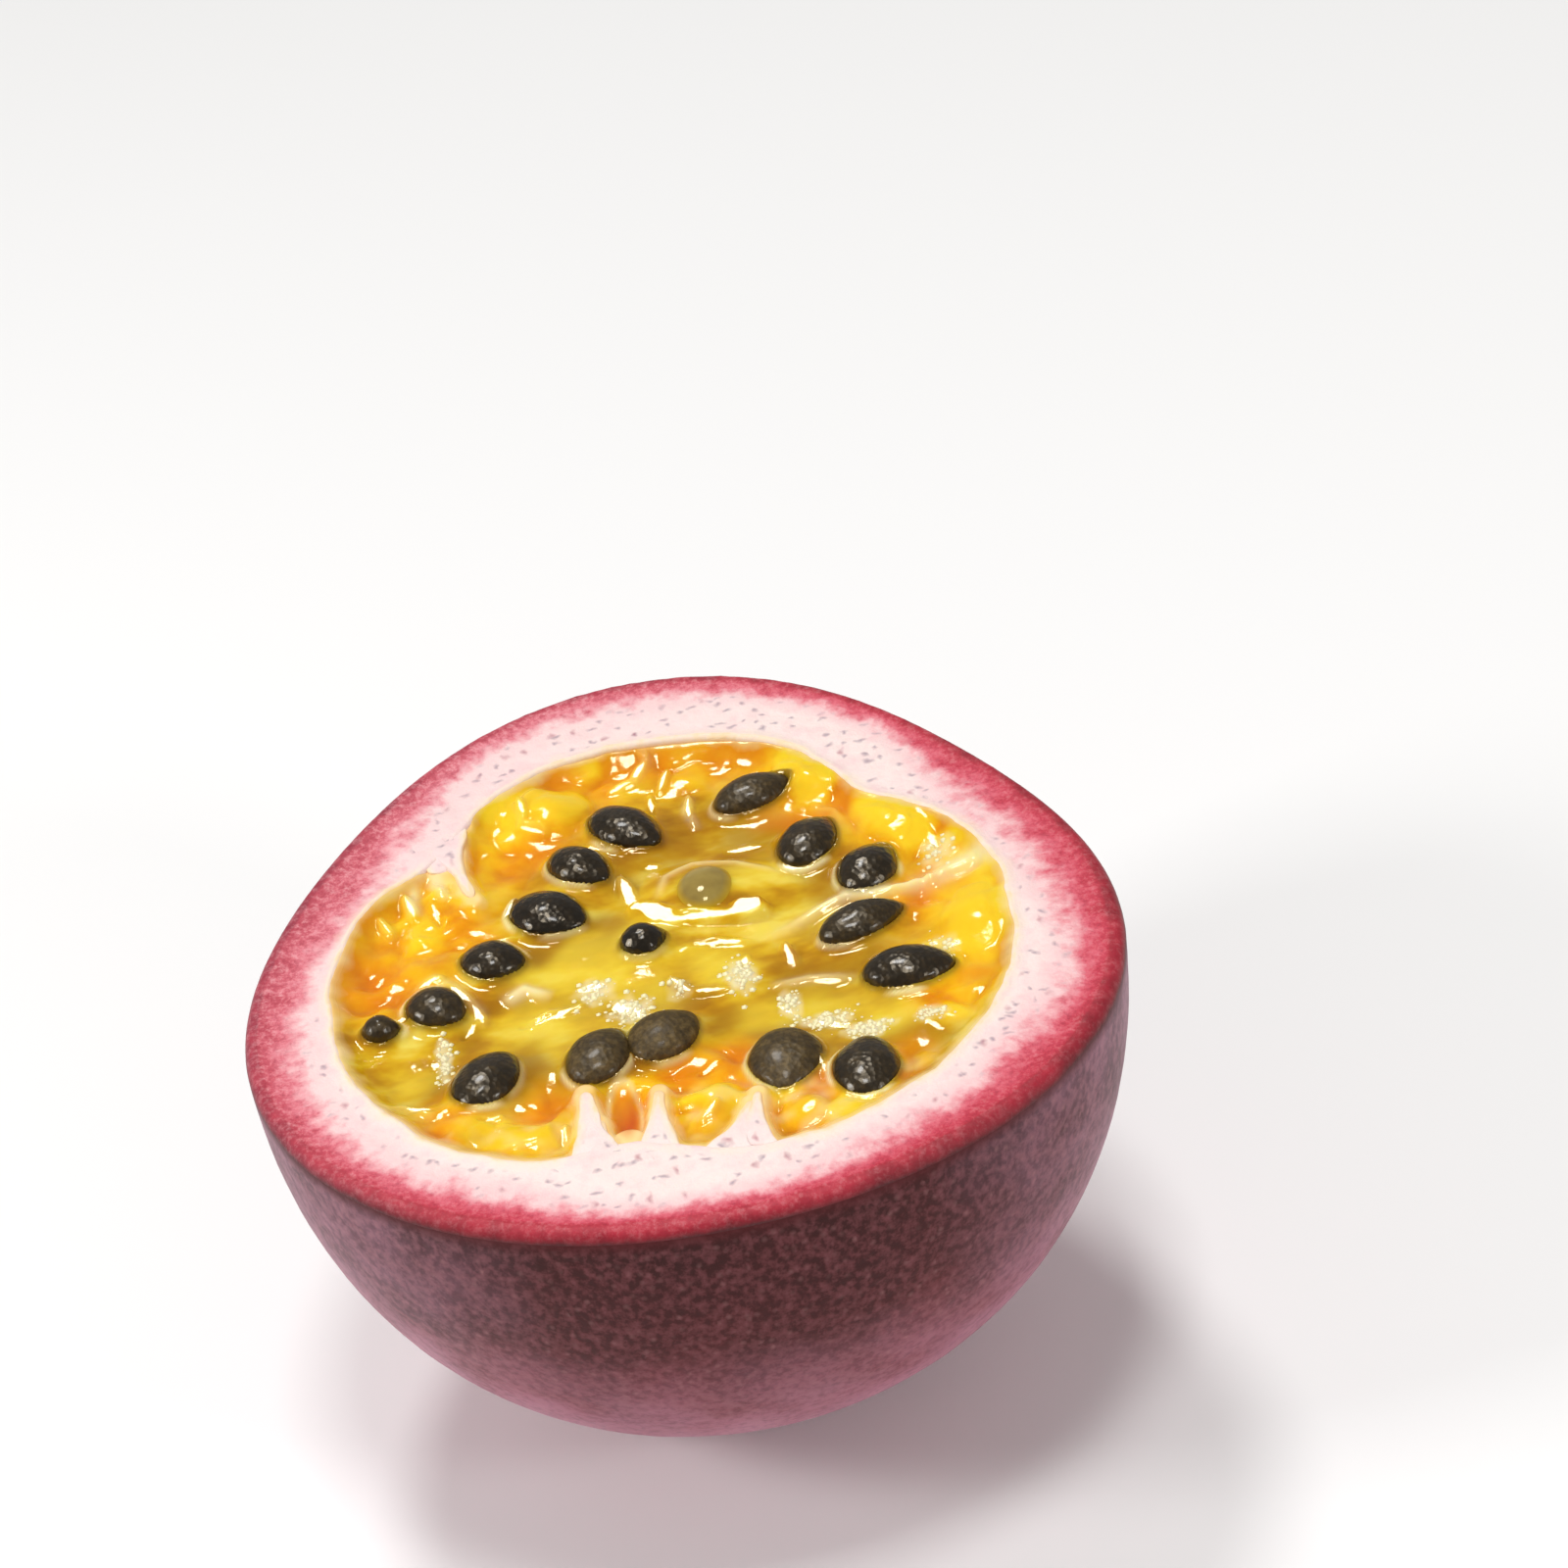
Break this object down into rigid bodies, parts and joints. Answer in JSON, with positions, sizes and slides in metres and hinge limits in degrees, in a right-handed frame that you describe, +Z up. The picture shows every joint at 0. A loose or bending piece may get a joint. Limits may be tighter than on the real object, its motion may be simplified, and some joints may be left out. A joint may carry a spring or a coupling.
{
  "type": "passion fruit half",
  "caption": "Ripe purple passion fruit cut across, lying cut face up: a thick bowl of peel filled with juicy pulp and dark seeds.",
  "frame": {"origin": "centre of the small flat spot on the underside that the half rests on", "axes": "+Z up, out of the cut face; +X to the right and +Y to the back as the half is seen from its front ridge of stalks"},
  "size_m": [0.0575, 0.0585, 0.0347],
  "materials": {
    "peel": "smooth waxy purple skin over a red layer and soft white pith",
    "pulp": "wet glossy yellow and orange pulp with hard black-brown seeds"
  },
  "bodies": {
    "root": {"peel": "peel", "pulp": "pulp"}
  },
  "joints": []
}
